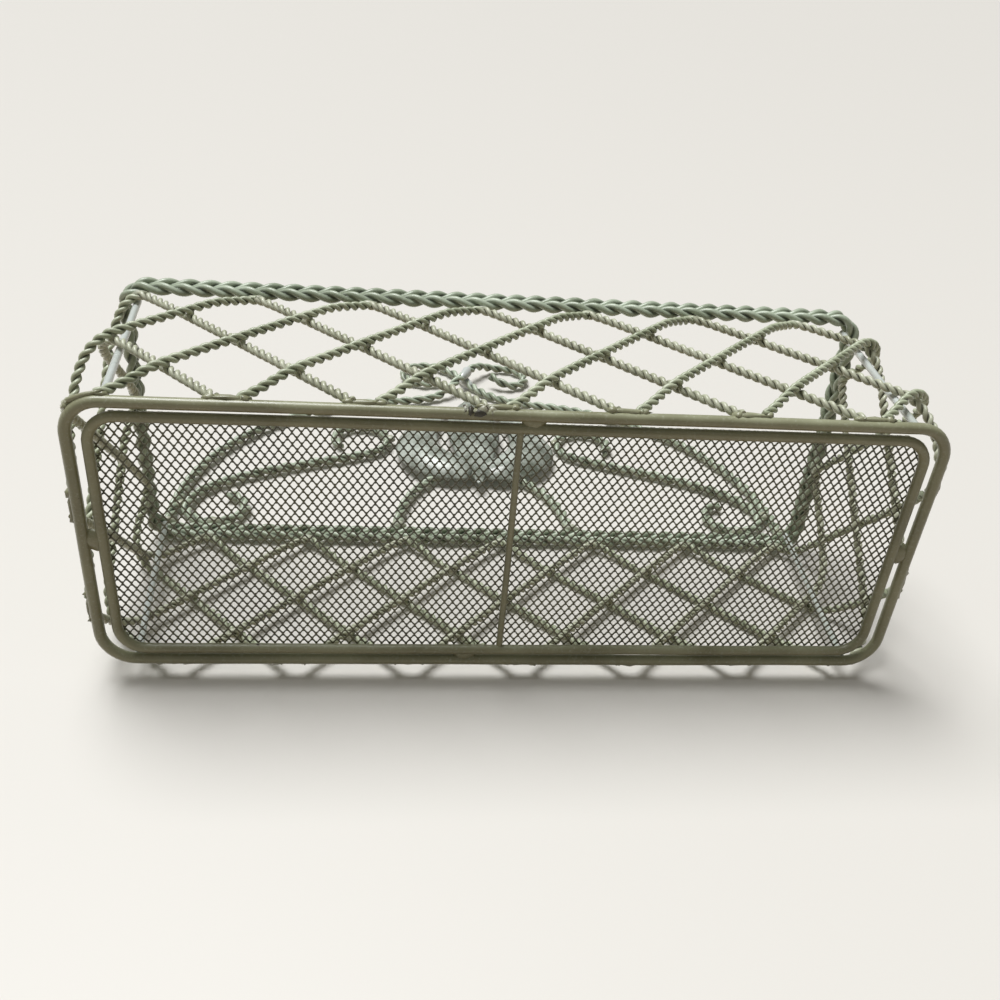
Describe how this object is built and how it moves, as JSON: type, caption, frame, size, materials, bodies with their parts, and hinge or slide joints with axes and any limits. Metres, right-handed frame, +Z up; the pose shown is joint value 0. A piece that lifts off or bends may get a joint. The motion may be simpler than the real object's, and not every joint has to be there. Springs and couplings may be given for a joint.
{
  "type": "wire wall basket",
  "caption": "Welded wire wall basket: open rectangular basket with a diamond lattice of twisted wire, a rope rim, a mesh floor and a scrollwork crest at the back for hanging.",
  "frame": {"origin": "middle of the footprint, on the surface that the base ring stands on", "axes": "+Z up, front of the basket towards -Y, wall side with the crest towards +Y, +X to the viewer's right"},
  "size_m": [0.4122, 0.1608, 0.3964],
  "materials": {
    "rod_paint": "satin sage paint on plain rod",
    "rope_paint": "satin sage paint on twisted rope rod",
    "wire_paint": "satin sage paint on twisted wire",
    "mesh_paint": "thin sage paint on expanded metal",
    "sheet_paint": "satin sage paint on pressed sheet"
  },
  "bodies": {
    "root": {"base_ring": "rod_paint", "corner_post_back_left": "rod_paint", "corner_post_back_right": "rod_paint", "corner_post_front_left": "rod_paint", "corner_post_front_right": "rod_paint", "crest_arc_left": "rope_paint", "crest_arc_right": "rope_paint", "crest_arch": "rope_paint", "crest_scroll_left": "rope_paint", "crest_scroll_right": "rope_paint", "crest_tulip": "sheet_paint", "lattice_back_inner_1": "wire_paint", "lattice_back_inner_2": "wire_paint", "lattice_back_inner_3": "wire_paint", "lattice_back_inner_4": "wire_paint", "lattice_back_inner_5": "wire_paint", "lattice_back_inner_6": "wire_paint", "lattice_back_inner_7": "wire_paint", "lattice_back_outer_1": "wire_paint", "lattice_back_outer_2": "wire_paint", "lattice_back_outer_3": "wire_paint", "lattice_back_outer_4": "wire_paint", "lattice_back_outer_5": "wire_paint", "lattice_back_outer_6": "wire_paint", "lattice_back_outer_7": "wire_paint", "lattice_front_inner_1": "wire_paint", "lattice_front_inner_2": "wire_paint", "lattice_front_inner_3": "wire_paint", "lattice_front_inner_4": "wire_paint", "lattice_front_inner_5": "wire_paint", "lattice_front_inner_6": "wire_paint", "lattice_front_inner_7": "wire_paint", "lattice_front_outer_1": "wire_paint", "lattice_front_outer_2": "wire_paint", "lattice_front_outer_3": "wire_paint", "lattice_front_outer_4": "wire_paint", "lattice_front_outer_5": "wire_paint", "lattice_front_outer_6": "wire_paint", "lattice_front_outer_7": "wire_paint", "lattice_left_inner_1": "wire_paint", "lattice_left_inner_2": "wire_paint", "lattice_left_outer_1": "wire_paint", "lattice_left_outer_2": "wire_paint", "lattice_right_inner_1": "wire_paint", "lattice_right_inner_2": "wire_paint", "lattice_right_outer_1": "wire_paint", "lattice_right_outer_2": "wire_paint", "rim_lower_rope": "rope_paint", "rim_upper_rope": "rope_paint", "tray_crossbar": "rod_paint", "tray_frame": "rod_paint", "tray_mesh": "mesh_paint", "tray_weld_back": "rod_paint", "tray_weld_front": "rod_paint", "tray_weld_left": "rod_paint", "tray_weld_right": "rod_paint"}
  },
  "joints": []
}
